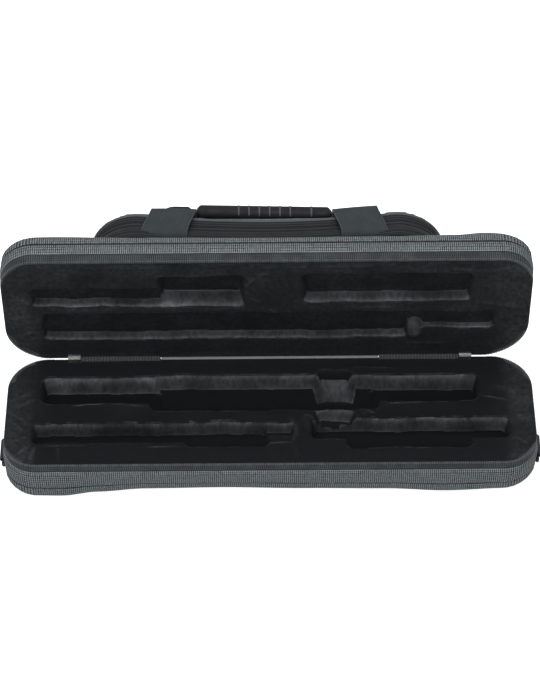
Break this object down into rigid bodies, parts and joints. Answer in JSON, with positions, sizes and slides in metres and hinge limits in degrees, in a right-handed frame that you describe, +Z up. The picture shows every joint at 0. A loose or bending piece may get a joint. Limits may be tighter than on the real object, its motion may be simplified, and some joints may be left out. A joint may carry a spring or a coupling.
{
  "type": "flute case",
  "caption": "Padded flute case with a zip round its rim, plush recesses, an outer pocket and a webbing handle, standing open.",
  "frame": {"origin": "on the surface that the case rests on, under the middle of the base", "axes": "+X along the case, -Y to the front, +Z up"},
  "size_m": [0.4338, 0.1977, 0.1535],
  "materials": {
    "woven_cover": "two-tone tweed weave",
    "zip_tape": "ribbed woven tape",
    "zip_coil": "nylon coil",
    "black_plush": "soft",
    "foam": "moulded bead foam",
    "hinge_tape": "grosgrain",
    "slider_metal": "nickel plated",
    "webbing": "herringbone webbing",
    "black_webbing": "plain webbing",
    "piping": "woven binding",
    "gusset": "plain nylon",
    "grip_rubber": "satin moulded rubber",
    "ring_metal": "black painted wire"
  },
  "bodies": {
    "base": {"base_foam_shell": "foam", "base_lining": "black_plush", "base_wall_cover": "woven_cover", "base_bottom_cover": "woven_cover", "base_zip_tape": "zip_tape", "base_zip_coil": "zip_coil", "hinge_strip_base": "hinge_tape", "back_zip_left": "zip_coil", "back_zip_right": "zip_coil", "end_tab_left": "black_webbing", "end_tab_right": "black_webbing"},
    "lid": {"lid_foam_shell": "foam", "lid_lining": "black_plush", "lid_wall_cover": "woven_cover", "lid_top_cover": "woven_cover", "lid_zip_tape": "zip_tape", "lid_zip_coil": "zip_coil", "hinge_strip_lid": "hinge_tape", "pocket_gusset": "gusset", "pocket_zip_tape": "zip_tape", "pocket_zip_coil": "zip_coil", "pocket_piping": "piping", "pocket_panel": "woven_cover"},
    "handle": {"webbing_band_left": "webbing", "webbing_band_right": "webbing", "handle_grip": "grip_rubber"},
    "main_slider_left": {"main_slider_left": "slider_metal"},
    "main_pull_left": {"main_pull_left": "slider_metal"},
    "strap_ring_left": {"d_ring_left": "ring_metal"},
    "main_slider_right": {"main_slider_right": "slider_metal"},
    "main_pull_right": {"main_pull_right": "slider_metal"},
    "strap_ring_right": {"d_ring_right": "ring_metal"},
    "pocket_slider": {"pocket_slider": "slider_metal"},
    "pocket_pull": {"pocket_pull": "slider_metal"}
  },
  "joints": [
    {"name": "lid_hinge", "type": "hinge", "parent": "base", "child": "lid", "pos_m": [0, 0.054, 0.0458], "axis": [1, 0, 0], "range_deg": [-36, 94]},
    {"name": "handle_swing", "type": "hinge", "parent": "lid", "child": "handle", "pos_m": [0, 0.10087, 0.14407], "axis": [1, 0, 0], "range_deg": [0, 90]},
    {"name": "main_slider_left_slide", "type": "slide", "parent": "base", "child": "main_slider_left", "axis": [1, 0, 0], "range_m": [0, 0.0615]},
    {"name": "main_pull_left_swing", "type": "hinge", "parent": "main_slider_left", "child": "main_pull_left", "pos_m": [-0.1585, 0.0585, 0.0384], "axis": [1, 0, 0], "range_deg": [-8, 35]},
    {"name": "strap_ring_left_swing", "type": "hinge", "parent": "base", "child": "strap_ring_left", "pos_m": [-0.2136, -0.019, 0.02], "axis": [0, 1, 0], "range_deg": [-5, 100]},
    {"name": "main_slider_right_slide", "type": "slide", "parent": "base", "child": "main_slider_right", "axis": [-1, 0, 0], "range_m": [0, 0.0615]},
    {"name": "main_pull_right_swing", "type": "hinge", "parent": "main_slider_right", "child": "main_pull_right", "pos_m": [0.1585, 0.0585, 0.0384], "axis": [1, 0, 0], "range_deg": [-8, 35]},
    {"name": "strap_ring_right_swing", "type": "hinge", "parent": "base", "child": "strap_ring_right", "pos_m": [0.2136, -0.019, 0.02], "axis": [0, -1, 0], "range_deg": [-5, 100]},
    {"name": "pocket_slider_slide", "type": "slide", "parent": "lid", "child": "pocket_slider", "axis": [1, 0, 0], "range_m": [0, 0.029]},
    {"name": "pocket_pull_swing", "type": "hinge", "parent": "pocket_slider", "child": "pocket_pull", "pos_m": [0.066, 0.10783, 0.05156], "axis": [0, 0.9976, -0.0698], "range_deg": [-80, 80]}
  ]
}
